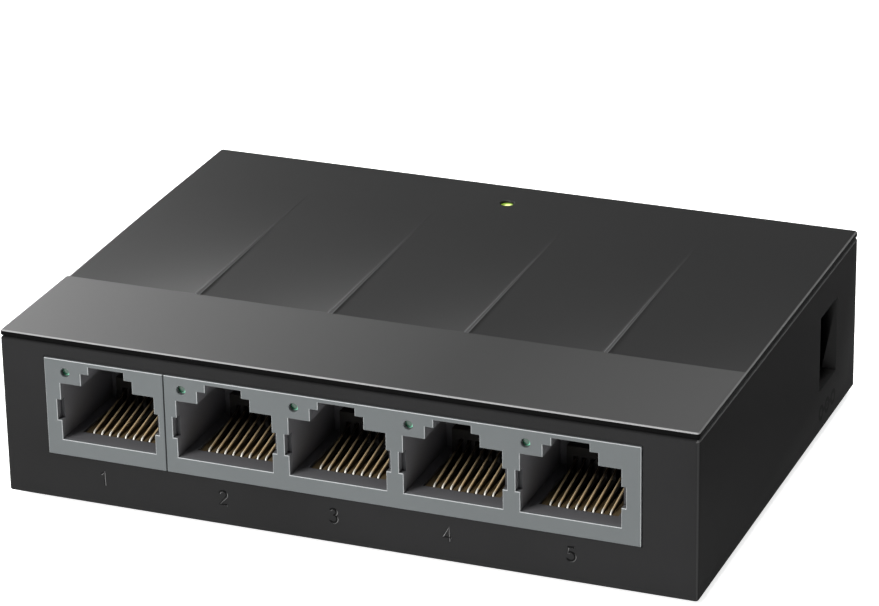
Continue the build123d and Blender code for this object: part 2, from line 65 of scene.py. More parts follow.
def make_camera():
    camera = bpy.data.objects.new("camera", bpy.data.cameras.new("camera"))
    camera.data.lens = LENS
    camera.data.sensor_width = SENSOR_WIDTH
    camera.data.clip_start = CLIP_NEAR
    camera.data.clip_end = CLIP_FAR
    aim = (CAMERA_AIM - CAMERA_PLACE).to_track_quat("-Z", "Y").to_matrix().to_4x4()
    camera.matrix_world = Matrix.Translation(CAMERA_PLACE) @ aim @ Matrix.Rotation(CAMERA_ROLL, 4, "Z")
    scene.collection.objects.link(camera)
    scene.camera = camera


make_camera()


# --- Shader sums as Python expressions -------------------------------------------
class Number:
    """A shader socket that carries one number and takes part in Python arithmetic."""

    def __init__(self, paint, socket):
        self.paint = paint
        self.socket = socket

    def combine(self, operation, *values):
        return self.paint.number("ShaderNodeMath", {"operation": operation}, dict(enumerate(values)))

    def __add__(self, other):
        return self.combine("ADD", self, other)

    def __sub__(self, other):
        return self.combine("SUBTRACT", self, other)

    def __mul__(self, other):
        return self.combine("MULTIPLY", self, other)

    def __truediv__(self, other):
        return self.combine("DIVIDE", self, other)

    def __pow__(self, other):
        return self.combine("POWER", self, other)

    def __rsub__(self, other):
        return self.combine("SUBTRACT", other, self)

    __radd__ = __add__

    def clipped(self):
        """Kept between 0 and 1."""
        return self.combine("MINIMUM", self.combine("MAXIMUM", self, 0.0), 1.0)

    def root(self):
        return self.combine("SQRT", self)

    def size(self):
        """The number without its sign."""
        return self.combine("ABSOLUTE", self)

    def fraction(self):
        return self.combine("FRACT", self)

    def above(self, edge, softness):
        """0 below the edge, 1 above it, with a soft step between."""
        settings = {"interpolation_type": "SMOOTHSTEP"}
        low, high = edge - softness / 2, edge + softness / 2
        return self.paint.number("ShaderNodeMapRange", settings, {"Value": self, 1: low, 2: high})


class Paint:
    """A material under construction."""

    def __init__(self, name):
        self.material = bpy.data.materials.new(name)
        self.material.use_nodes = True
        self.tree = self.material.node_tree
        self.tree.nodes.clear()
        output = self.tree.nodes.new("ShaderNodeOutputMaterial")
        self.place = self.node("ShaderNodeTexCoord").outputs["Object"]
        self.shader = self.node("ShaderNodeBsdfPrincipled")
        self.tree.links.new(self.shader.outputs[0], output.inputs["Surface"])

    def node(self, kind, settings=None, values=None):
        node = self.tree.nodes.new(kind)
        for name, value in (settings or {}).items():
            setattr(node, name, value)
        for name, value in (values or {}).items():
            self.feed(node.inputs[name], value)
        return node

    def feed(self, socket, value):
        if isinstance(value, Number):
            value = value.socket
        if isinstance(value, bpy.types.NodeSocket):
            self.tree.links.new(value, socket)
        else:
            socket.default_value = value

    def number(self, kind, settings=None, values=None, output=0):
        return Number(self, self.node(kind, settings, values).outputs[output])

    def noise(self, scale, detail=2.0, roughness=0.5):
        values = {"Vector": self.place, "Scale": scale, "Detail": detail, "Roughness": roughness}
        return self.number("ShaderNodeTexNoise", None, values)

    def attribute(self, name):
        """A number kept on the mesh."""
        return self.number("ShaderNodeAttribute", {"attribute_name": name}, None, 2)

    def axes(self):
        """The three object coordinates, in metres."""
        split = self.node("ShaderNodeSeparateXYZ", None, {0: self.place})
        return [Number(self, split.outputs[i]) for i in range(3)]

    def mix(self, factor, first, second):
        node = self.node("ShaderNodeMix", {"data_type": "RGBA"}, {"Factor": factor, 6: first, 7: second})
        return node.outputs[2]

    def bump(self, height, strength, distance):
        values = {"Height": height, "Strength": strength, "Distance": distance}
        return self.node("ShaderNodeBump", None, values).outputs[0]

    def finish(self, **sockets):
        """Sets the main shader's sockets, named with _ for a space, and gives the material."""
        for name, value in sockets.items():
            self.feed(self.shader.inputs[name.replace("_", " ")], value)
        return self.material


def shade(value, tint=(1.0, 1.0, 1.0)):
    return tuple(value * part for part in tint) + (1.0,)


# --- Sizes that both the shapes and the finishes need ---------------------------------
COVER_LOW, COVER_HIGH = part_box("top_cover")
SHELL_LOW, SHELL_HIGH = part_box("base_shell")
INLET_LOW, INLET_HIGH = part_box("dc_jack_body")
SOCKET_FACE_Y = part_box("port_1_jack_housing")[0].y
CASE_SPAN = COVER_HIGH.x - COVER_LOW.x
FACETS = 5
FACET_STEP = 0.16 * MM                                # width of the rounded step round a facet
FACET_FRONT = COVER_LOW.y + 17.1 * MM                 # where the flat band ends
FACET_REAR = COVER_HIGH.y - 11.0 * MM                 # where the facets have faded out
POWER_OPENING_HEIGHT = 9.5 * MM
WIRE_BEND_Y = -27.5 * MM


# --- Materials --------------------------------------------------------------------
MATT = 0.003                                          # specular level of the case
SPARK_GRAIN = 5200.0                                  # noise scales
MOTTLE_GRAIN = 2600.0
FLOW_MARKS = 38.0
RELIEF = 0.02 * MM                                    # bump depths
FINE_RELIEF = 0.01 * MM


def moulded_plastic(name, dark, light, roughness, grain, grain_scale=SPARK_GRAIN, specular=0.5):
    """Spark-textured moulded plastic: fine grain, faint flow marks, uneven gloss."""
    paint = Paint(name)
    fine = paint.noise(grain_scale, 3.0, 0.65)
    coarse = paint.noise(grain_scale / 4, 2.0, 0.5)
    flow = paint.noise(FLOW_MARKS, 3.0, 0.55)
    tone = flow * 0.6 + coarse * 0.25 + fine * 0.15
    relief = fine * 0.6 + coarse * 0.4
    return paint.finish(
        Base_Color=paint.mix(tone.above(0.5, 0.5), dark, light),
        Roughness=roughness - 0.05 + flow * 0.06 + fine * 0.05,
        Normal=paint.bump(relief, grain, RELIEF),
        Specular_IOR_Level=specular,
    )


SIGN_PITCH = 2.5 * MM
SIGN_RADIUS = 0.75 * MM
SIGN_DOT = 0.30 * MM
SIGN_LINE = 0.27 * MM                                 # half the width of its lines
SIGN_DROP = 3.1 * MM                                  # from the opening down to the sign
SIGN_BLUR = 0.05 * MM


def polarity_sign(paint):
    """The usual sign for a power inlet, printed below it: three rings on a line, one with a dot."""
    x, y, z = paint.axes()
    across = y - (INLET_LOW.y + INLET_HIGH.y) / 2
    up = z - (INLET_HIGH.z - POWER_OPENING_HEIGHT - SIGN_DROP)
    level = 1 - up.size().above(SIGN_LINE, SIGN_BLUR)
    sign = 1 - (across * across + up * up).root().above(SIGN_DOT, SIGN_BLUR)
    for centre in (-SIGN_PITCH, 0.0, SIGN_PITCH):
        off = across - centre
        reach = ((off * off + up * up).root() - SIGN_RADIUS).size()
        sign = sign + (1 - reach.above(SIGN_LINE, SIGN_BLUR))
    for centre in (-SIGN_PITCH / 2, SIGN_PITCH / 2):
        bar = 1 - (across - centre).size().above(SIGN_PITCH / 2 - SIGN_RADIUS, SIGN_BLUR)
        sign = sign + bar * level
    return sign.clipped() * on_right_side(x)


def on_right_side(x):
    """1 on the shell's right face."""
    return x.above(SHELL_HIGH.x - 2 * SIGN_BLUR, SIGN_BLUR)


def shell_plastic():
    """The lower shell: deep charcoal with a spark-eroded grain and hardly any gloss, with painted shade on
    the right face, painted light on the power opening's walls and painted highlights on the rounded edges.
    """
    paint = Paint("charcoal_shell")
    fine = paint.noise(SPARK_GRAIN, 3.0, 0.65)
    flow = paint.noise(FLOW_MARKS, 3.0, 0.55)
    tone = (flow * 0.75 + fine * 0.25).above(0.5, 0.5)
    plain = paint.mix(tone, shade(0.0155), shade(0.0195, (1, 1, 1.02)))
    # The right face is painted darker: painted shade.
    right_shaded = paint.mix(on_right_side(paint.axes()[0]), plain, shade(0.0095))
    # The power opening's walls are painted lighter: painted light.
    with_recess_light = paint.mix(paint.attribute("recess_light"), right_shaded, shade(0.035))
    printed = paint.mix(polarity_sign(paint), with_recess_light, shade(0.0010))
    return paint.finish(
        # The rounded top edge of the right side and the front corners are painted light: painted highlight.
        Base_Color=paint.mix(paint.attribute("rim"), printed, shade(0.085)),
        Roughness=0.50 + flow * 0.06 + fine * 0.05,
        Normal=paint.bump(fine, 0.22, RELIEF),
        Specular_IOR_Level=MATT,
    )


LEFT_SHEEN = 0.64                                     # painted sheen of the band, over a least painted sheen
LEFT_REACH = 0.625                                    # share of the case's width
RIGHT_SHEEN = 0.22
RIGHT_FROM = 0.68
LEAST_SHEEN = 0.28
CREST_SHEEN = 0.30
CREST_PLACE = 0.990                                   # shares of a facet's width
WALL_PLACE = 0.0095


def painted_band_sheen(share):
    """A painted sheen on the band: strongest at the left end, least past the middle and a little more at the
    right end.
    """
    left = (1 - share / LEFT_REACH).clipped()
    right = ((share - RIGHT_FROM) / (1 - RIGHT_FROM)).clipped()
    return left * LEFT_SHEEN + right * RIGHT_SHEEN + LEAST_SHEEN


def painted_facet_sheen(share, strip, front):
    """A painted highlight on each facet: lightest at its right front corner, with a painted light crest just
    before the next facet.
    """
    corner = strip ** 1.7 * front ** 2.2 * ((1 - share) ** 2 * 0.75 + 0.10)
    return corner + strip.above(CREST_PLACE, 0.008) * CREST_SHEEN * front


def lid_plastic():
    """The lid: a satin front band and duller facets, both with painted sheen, a painted highlight on the low
    wall beside each facet and on the rounded rim, and painted shade on the upright sides.
    """
    paint = Paint("charcoal_lid")
    across, along, _ = paint.axes()
    fine = paint.noise(SPARK_GRAIN, 3.0, 0.65)
    flow = paint.noise(30.0, 3.0, 0.55)
    share = across / CASE_SPAN + 0.5
    strip = (share * FACETS).fraction()
    band = 1 - along.above(FACET_FRONT + FACET_STEP / 2, 0.75 * FACET_STEP)
    front = 1 - ((along - FACET_FRONT) / (FACET_REAR - FACET_FRONT)).clipped()
    # Painted sheen on the band and painted highlights on the facets, carried in the colour.
    sheen = band * painted_band_sheen(share) + (1 - band) * painted_facet_sheen(share, strip, front)
    tone = (sheen + flow * 0.04).clipped()
    # The low wall at each facet's left side is painted pale: painted highlight.
    wall = (1 - strip.above(WALL_PLACE, 0.003)) * (1 - band) * front ** 1.4
    # The upright sides are painted near black: painted shade.
    side = paint.attribute("side")
    plain = paint.mix(tone, shade(0.0135), shade(0.098))
    wall_highlighted = paint.mix(wall, plain, shade(0.30))
    # The rounded rim is painted light: painted highlight.
    edge_highlighted = paint.mix(paint.attribute("edge"), wall_highlighted, shade(0.27))
    return paint.finish(
        Base_Color=paint.mix(side, edge_highlighted, shade(0.004)),
        Roughness=0.47 - band * 0.07 + fine * 0.05,
        Coat_Weight=(tone * 0.20 + 0.52) * (1 - side),
        Coat_Roughness=0.42,
        Normal=paint.bump(fine, 0.16, RELIEF),
        Specular_IOR_Level=MATT,
    )


def figure_plastic():
    """The raised figures: darker than the shell, with a painted highlight on the faces turned right and
    down.
    """
    paint = Paint("raised_figure")
    fine = paint.noise(SPARK_GRAIN, 3.0, 0.65)
    edge = paint.attribute("edge")
    return paint.finish(
        Base_Color=paint.mix(edge.above(0.40, 0.5), shade(0.0040), shade(0.22)),
        Roughness=0.45 + fine * 0.08,
        Normal=paint.bump(fine, 0.1, RELIEF),
        Specular_IOR_Level=0.03,
    )


MOUTH_DEPTH = 0.3 * MM                                # where the face's grey gives way to the throat's lighter grey, which is painted light
THROAT_RUN = 7.0 * MM


def jack_plastic():
    """Blue-grey glass-filled plastic with a faint fibre mottle; plainer and lighter grey inside the sockets,
    which is painted light, a painted highlight on the front edges and painted shade on the notch ends.
    """
    paint = Paint("socket_plastic")
    depth = paint.axes()[1] - SOCKET_FACE_Y
    mottle = paint.noise(MOTTLE_GRAIN, 4.0, 0.6)
    cloud = paint.noise(110.0, 2.0, 0.5)
    tone = mottle * 0.35 + cloud * 0.65
    face = paint.mix(tone, (0.074, 0.081, 0.083, 1), (0.090, 0.099, 0.101, 1))
    # The throat is painted lighter than the face, more so deeper in: painted light against the shade in the
    # sockets.
    inside = ((depth - MOUTH_DEPTH) / THROAT_RUN).clipped()
    throat = paint.mix(inside, (0.112, 0.111, 0.116, 1), (0.120, 0.119, 0.126, 1))
    plain = paint.mix(depth.above(MOUTH_DEPTH, MOUTH_DEPTH), face, throat)
    # The rounded front edges are painted light: painted highlight.
    lit = paint.attribute("edge") * (1 - depth.above(0.6 * MM, 0.4 * MM))
    edge_highlighted = paint.mix(lit, plain, (0.46, 0.475, 0.48, 1))
    return paint.finish(
        # The notch ends are painted dark: painted shade.
        Base_Color=paint.mix(paint.attribute("notch_shade"), edge_highlighted, (0.022, 0.022, 0.024, 1)),
        Roughness=0.44 + mottle * 0.12,
        Normal=paint.bump(mottle, 0.10, RELIEF),
        Specular_IOR_Level=0.25,
    )


COMB_FADE = 5.0 * MM                                  # runs over which painted shade darkens the rear
WIRE_FADE = 6.2 * MM


def comb_plastic():
    """Amber plastic of the contact combs, with painted shade darkening it towards the rear."""
    paint = Paint("comb_plastic")
    along = paint.axes()[1]
    mottle = paint.noise(MOTTLE_GRAIN, 3.0, 0.6)
    # Darker towards the rear: painted shade.
    back = ((along - WIRE_BEND_Y - 0.5 * MM) / COMB_FADE).clipped()
    front = paint.mix(mottle, shade(0.110, (1.0, 0.70, 0.34)), shade(0.140, (1.0, 0.74, 0.38)))
    return paint.finish(
        Base_Color=paint.mix(back, front, shade(0.016, (1.0, 0.90, 0.80))),
        Roughness=0.48 + mottle * 0.1,
        Normal=paint.bump(mottle, 0.15, RELIEF),
        Specular_IOR_Level=0.2,
    )


def gilt_wire():
    """Drawn bronze wire with a gold flash, a painted highlight at the front bend and painted shade dulling
    it towards the comb.
    """
    paint = Paint("gilt_wire")
    along = paint.axes()[1]
    lines = paint.noise(4200.0, 2.0, 0.5)
    stain = paint.noise(900.0, 3.0, 0.6)
    gold = paint.mix(stain, (0.93, 0.66, 0.34, 1), (1.0, 0.80, 0.50, 1))
    # A painted highlight at the front bend and painted shade darkening the rear.
    tip_highlight = 1 - along.above(WIRE_BEND_Y + 0.1 * MM, 0.9 * MM)
    back = ((along - WIRE_BEND_Y) / WIRE_FADE).clipped()
    bright = paint.mix(tip_highlight, gold, (1.0, 0.97, 0.88, 1))
    return paint.finish(
        Base_Color=paint.mix(back ** 1.8, bright, (0.030, 0.020, 0.010, 1)),
        Metallic=0.15,
        Roughness=0.30 + stain * 0.10 + lines * 0.04,
        Normal=paint.bump(lines, 0.04, FINE_RELIEF),
    )


def metal(name, dark, light, roughness, scale=1800.0):
    """Plated metal with a fine brushed grain."""
    paint = Paint(name)
    grain = paint.noise(scale, 3.0, 0.6)
    stain = paint.noise(160.0, 2.0, 0.5)
    return paint.finish(
        Base_Color=paint.mix(grain * 0.5 + stain * 0.5, dark, light),
        Metallic=1.0,
        Roughness=roughness + grain * 0.1,
        Normal=paint.bump(grain, 0.15, FINE_RELIEF),
    )


CORE_OFFSET = 0.16 * MM                               # of a lamp's core from the middle of its rod


def lamp_green(port):
    """The end of a green-tinted light pipe, dark in the middle, with a painted highlight paler on the right
    of its rod that also glows.
    """
    paint = Paint(f"pipe_green_{port}")
    low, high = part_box(f"port_{port}_light_pipe")
    radius = (high.x - low.x) / 2
    x, _, z = paint.axes()
    across = x - (low.x + radius - CORE_OFFSET)
    up = z - (high.z - radius)
    speck = paint.noise(3200.0, 2.0, 0.5)
    # A paler ring off to the right, in colour and glow: painted highlight.
    crescent_highlight = (across * across + up * up).root().above(0.50 * MM, 0.22 * MM)
    dark = paint.mix(speck, (0.004, 0.030, 0.016, 1), (0.008, 0.055, 0.028, 1))
    return paint.finish(
        Base_Color=paint.mix(crescent_highlight, dark, (0.22, 0.62, 0.42, 1)),
        Roughness=0.16 + speck * 0.08,
        Normal=paint.bump(speck, 0.05, FINE_RELIEF),
        Coat_Weight=0.25,
        Emission_Color=paint.mix(crescent_highlight, (0.0, 0.03, 0.01, 1), (0.08, 0.32, 0.20, 1)),
        Emission_Strength=0.25,
    )


def lamp_power():
    """The lit end of the power light pipe: a bright core in a yellow-green rod."""
    paint = Paint("pipe_yellow_green")
    low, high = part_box("power_light_pipe")
    x, y, _ = paint.axes()
    across = x - ((low.x + high.x) / 2 + CORE_OFFSET)
    along = y - (low.y + high.y) / 2
    rim = (across * across + along * along).root().above(0.42 * MM, 0.5 * MM)
    speck = paint.noise(MOTTLE_GRAIN, 2.0, 0.5)
    return paint.finish(
        Base_Color=paint.mix(rim, (0.75, 0.85, 0.30, 1), (0.16, 0.26, 0.03, 1)),
        Roughness=0.2 + speck * 0.08,
        Emission_Color=paint.mix(rim, (0.85, 1.0, 0.35, 1), (0.10, 0.18, 0.01, 1)),
        Emission_Strength=0.55,
    )


def solder_mask():
    """Green solder mask over copper tracks, with a woven glass ground."""
    paint = Paint("solder_mask")
    tracks = paint.number(
        "ShaderNodeTexBrick", {"offset": 0.37, "squash": 1.6, "squash_frequency": 3},
        {"Vector": paint.place, "Scale": 420.0, "Mortar Size": 0.03, "Mortar Smooth": 0.4}, 1,
    )
    weave = paint.noise(2400.0, 2.0, 0.5)
    return paint.finish(
        Base_Color=paint.mix(tracks, (0.006, 0.085, 0.030, 1), (0.020, 0.170, 0.062, 1)),
        Roughness=0.28 + weave * 0.12,
        Normal=paint.bump(tracks + weave * 0.2, 0.2, 1.5 * RELIEF),
        Coat_Weight=0.3,
    )


def blank_label():
    """A blank foil label with a fine matt tooth."""
    paint = Paint("blank_label")
    tooth = paint.noise(3800.0, 3.0, 0.6)
    cloud = paint.noise(90.0, 2.0, 0.5)
    return paint.finish(
        Base_Color=paint.mix(tooth * 0.4 + cloud * 0.6, (0.46, 0.46, 0.45, 1), (0.60, 0.60, 0.59, 1)),
        Metallic=0.25,
        Roughness=0.42 + tooth * 0.12,
        Normal=paint.bump(tooth, 0.1, FINE_RELIEF),
    )


def ceramic():
    """Fired ceramic chips with tinned ends."""
    paint = Paint("fired_ceramic")
    body = paint.noise(1500.0, 4.0, 0.6)
    return paint.finish(
        Base_Color=paint.mix(body, (0.28, 0.19, 0.12, 1), (0.42, 0.31, 0.21, 1)),
        Roughness=0.35 + body * 0.2,
        Normal=paint.bump(body, 0.2, RELIEF),
    )


case_paint = shell_plastic()
cover_paint = lid_plastic()
socket_paint = jack_plastic()
carrier_paint = comb_plastic()
wire_paint = gilt_wire()
digit_paint = figure_plastic()
SLOT_PAINTS = {
    "case": case_paint,
    "rubber": moulded_plastic("foot_rubber", shade(0.016), shade(0.024), 0.72, 0.5, MOTTLE_GRAIN, 0.3),
    "jack": socket_paint,
    "carrier": carrier_paint,
    "contact": wire_paint,
    "steel": metal("zinc_plate", shade(0.42), shade(0.60), 0.28),
    "board": solder_mask(),
    "epoxy": moulded_plastic("moulded_epoxy", shade(0.012), shade(0.020), 0.55, 0.4, 3600.0),
    "tinned": metal("tinned_lead", shade(0.55), shade(0.72), 0.24),
    "can": metal("drawn_can", shade(0.60), shade(0.76), 0.22, MOTTLE_GRAIN),
    "ceramic": ceramic(),
    "light_pipe": lamp_green(1),
    "lamp": moulded_plastic("clear_lamp", shade(0.55), shade(0.66), 0.25, 0.1),
    "label": blank_label(),
}


def dress_frame():
    """Gives every CAD node the finish of its slot."""
    slots = {part["node"]: part["material_slot"] for part in frame["record"]["subparts"]}
    for name, node in frame["nodes"].items():
        node.data.materials.clear()
        node.data.materials.append(SLOT_PAINTS[slots[name]])
    for port in PORTS[1:]:
        frame["nodes"][f"port_{port}_light_pipe"].data.materials[0] = lamp_green(port)
    frame["nodes"]["power_light_pipe"].data.materials[0] = lamp_power()


dress_frame()


# --- Making pieces ------------------------------------------------------------------
WELD = 0.001 * MM


def add_piece(name, mesh, paint, body=BODY, replaces=()):
    """Puts a finished mesh into the scene as a piece that rides on a body."""
    piece = bpy.data.objects.new(name, mesh)
    scene.collection.objects.link(piece)
    mesh.materials.clear()
    mesh.materials.append(paint)
    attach(piece, body)
    if replaces:
        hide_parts(*replaces)


def smooth(mesh, degrees=32.0):
    mesh.shade_smooth()
    mesh.set_sharp_from_angle(angle=math.radians(degrees))


def merged_copy(node):
    """A welded copy of a CAD node's mesh."""
    mesh = frame["nodes"][node].data.copy()
    work = bmesh.new()
    work.from_mesh(mesh)
    bmesh.ops.remove_doubles(work, verts=work.verts, dist=WELD)
    work.to_mesh(mesh)
    work.free()
    return mesh


def joined(name, meshes):
    """One mesh that holds several."""
    work = bmesh.new()
    for mesh in meshes:
        work.from_mesh(mesh)
        bpy.data.meshes.remove(mesh)
    result = bpy.data.meshes.new(name)
    work.to_mesh(result)
    work.free()
    return result


def mesh_from(data):
    """The finished mesh of a curve, or of an object with its modifiers."""
    holder = data
    if not isinstance(data, bpy.types.Object):
        holder = bpy.data.objects.new("holder", data)
    scene.collection.objects.link(holder)
    mesh = bpy.data.meshes.new_from_object(holder.evaluated_get(bpy.context.evaluated_depsgraph_get()))
    bpy.data.objects.remove(holder)
    return mesh


def face_marks(mesh, name):
    """A new number on every face, for a material to read."""
    return mesh.attributes.new(name, "FLOAT", "FACE").data


PIPE_RIM = 0.75 * MM
SEAM_MARGIN = 0.3 * MM
NOTCH_MARGIN = 0.2 * MM


def mark_edges(mesh, holes):
    """Notes how far each narrow rounded face of an edge looks up or to a side, as the strength of a painted
    highlight.
    """
    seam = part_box("port_1_jack_housing")[1].x
    for face, mark in zip(mesh.polygons, face_marks(mesh, "edge")):
        normal = face.normal
        slanted = -0.99 < normal.y < -0.12
        by_pipe = any((face.center.xz - hole).length < PIPE_RIM for hole in holes)
        plain = not slanted or by_pipe or abs(face.center.x - seam) < SEAM_MARGIN
        mark.value = 0.0 if plain else max(normal.z, normal.x * 0.7, normal.x * -0.35, 0.0) ** 0.5


def mark_notch_ends(mesh, lip):
    """Notes the faces that close the latch notches at the back of the lip, for painted shade."""
    for face, mark in zip(mesh.polygons, face_marks(mesh, "notch_shade")):
        at_lip = abs(face.center.y - lip) < NOTCH_MARGIN
        mark.value = 1.0 if at_lip and face.normal.y < -0.9 else 0.0


# --- Case -----------------------------------------------------------------------------
SHELL_EDGE = 0.3 * MM
# Strength of the painted highlight on the front corners.
CORNER_GLINT = 0.22


def in_power_opening(place):
    """Whether a point of the shell is on or beside the walls of the power opening."""
    margin = 1.0 * MM
    across = INLET_LOW.y - margin < place.y < INLET_HIGH.y + margin
    return across and place.x > INLET_HIGH.x - margin / 2 and place.z > 5 * margin


def rim_highlight(place, normal):
    """The strength of a painted highlight: 1 on the rounded top edge of the right side, less on the two
    front corners, otherwise 0.
    """
    if place.z > SHELL_HIGH.z - SHELL_EDGE and 0.15 < normal.z < 0.9 and normal.x > 0.15:
        return 1.0
    corner = abs(normal.z) < 0.1 and 0.35 < abs(normal.x) < 0.93 and normal.y < 0
    outside = abs(place.x) > SHELL_HIGH.x - 0.5 * MM
    return CORNER_GLINT if corner and outside else 0.0


def make_case_shell():
    """The lower shell, shaded smooth, with the power opening's walls marked for painted light and the bright
    edges marked for painted highlights.
    """
    mesh = merged_copy("base_shell")
    face_marks(mesh, "recess_light")
    face_marks(mesh, "rim")
    recess_lights, rim_highlights = mesh.attributes["recess_light"].data, mesh.attributes["rim"].data
    for face, recess_light, rim in zip(mesh.polygons, recess_lights, rim_highlights):
        # The power opening's walls, which are painted lighter as painted light.
        wall = abs(face.normal.x) < 0.1 and in_power_opening(face.center)
        recess_light.value = 1.0 if wall else 0.0
        rim.value = rim_highlight(face.center, face.normal)
    smooth(mesh)
    add_piece("case_shell", mesh, case_paint, replaces=["base_shell"])


CORNER_STEPS = 8
OUTLINE_STEP = 3.0 * MM


def rounded_rectangle(half_x, half_y, radius):
    """Points round a rectangle with rounded corners, anticlockwise."""
    points = []
    for corner, (sx, sy) in enumerate(((1, 1), (-1, 1), (-1, -1), (1, -1))):
        centre = Vector((sx * (half_x - radius), sy * (half_y - radius)))
        for i in range(CORNER_STEPS + 1):
            angle = math.pi / 2 * (corner + i / CORNER_STEPS)
            points.append(centre + Vector((math.cos(angle), math.sin(angle))) * radius)
        last = points[-1]
        run = half_x if corner % 2 == 0 else half_y
        count = int(2 * (run - radius) / OUTLINE_STEP)
        along = Vector((-sx, 0)) if corner % 2 == 0 else Vector((0, -sy))
        points += [last + along * (2 * (run - radius) * k / count) for k in range(1, count)]
    return points


# Strength of the painted highlight on the rim's right side.
SIDE_GLINT = 0.28


def mark_lid(mesh, half_x, half_y):
    """Marks the lid's rounded rim for a painted highlight and its upright sides for painted shade."""
    face_marks(mesh, "edge")
    face_marks(mesh, "side")
    edges, sides = mesh.attributes["edge"].data, mesh.attributes["side"].data
    for face, edge, side in zip(mesh.polygons, edges, sides):
        place, normal = face.center, face.normal
        by_rim = max(abs(place.x) - half_x, abs(place.y) - half_y) > -Cover.edge
        rounded = by_rim and 0.55 < normal.z < 0.93
        edge.value = max(-normal.y, SIDE_GLINT * normal.x, 0.0) ** 0.5 if rounded else 0.0
        side.value = 1.0 if by_rim and normal.z <= 0.45 else 0.0


def circle(centre, radius, count=32):
    turn = 2 * math.pi / count
    return [centre + Vector((math.cos(i * turn), math.sin(i * turn))) * radius for i in range(count)]


HOLE_MARGIN = 0.995                                   # a triangle nearer to the hole's centre is inside it
TOUCHING = 0.001 * MM
ROUNDING = 1e-9                                       # lengths under this are rounding errors


def rounded_step(share):
    """0 up to 0, 1 from 1, and a smooth rise between."""
    share = min(max(share, 0), 1)
    return share * share * (3 - 2 * share)


def rounded_drop(distance, radius):
    """How far a rounded edge has dropped at a distance in from its outline."""
    if distance >= radius:
        return 0.0
    return radius - math.sqrt(max(radius ** 2 - (radius - distance) ** 2, 0))


def divided(start, end, count):
    """The places that divide a run into equal parts, without its ends."""
    return [start + (end - start) * k / count for k in range(1, count)]


def drawn_out(work, edges):
    """New faces from a loop of edges; gives the loop's new edges and their vertices."""
    fresh = bmesh.ops.extrude_edge_only(work, edges=edges)["geom"]
    loop = [e for e in fresh if isinstance(e, bmesh.types.BMEdge)]
    return loop, {v for e in loop for v in e.verts}


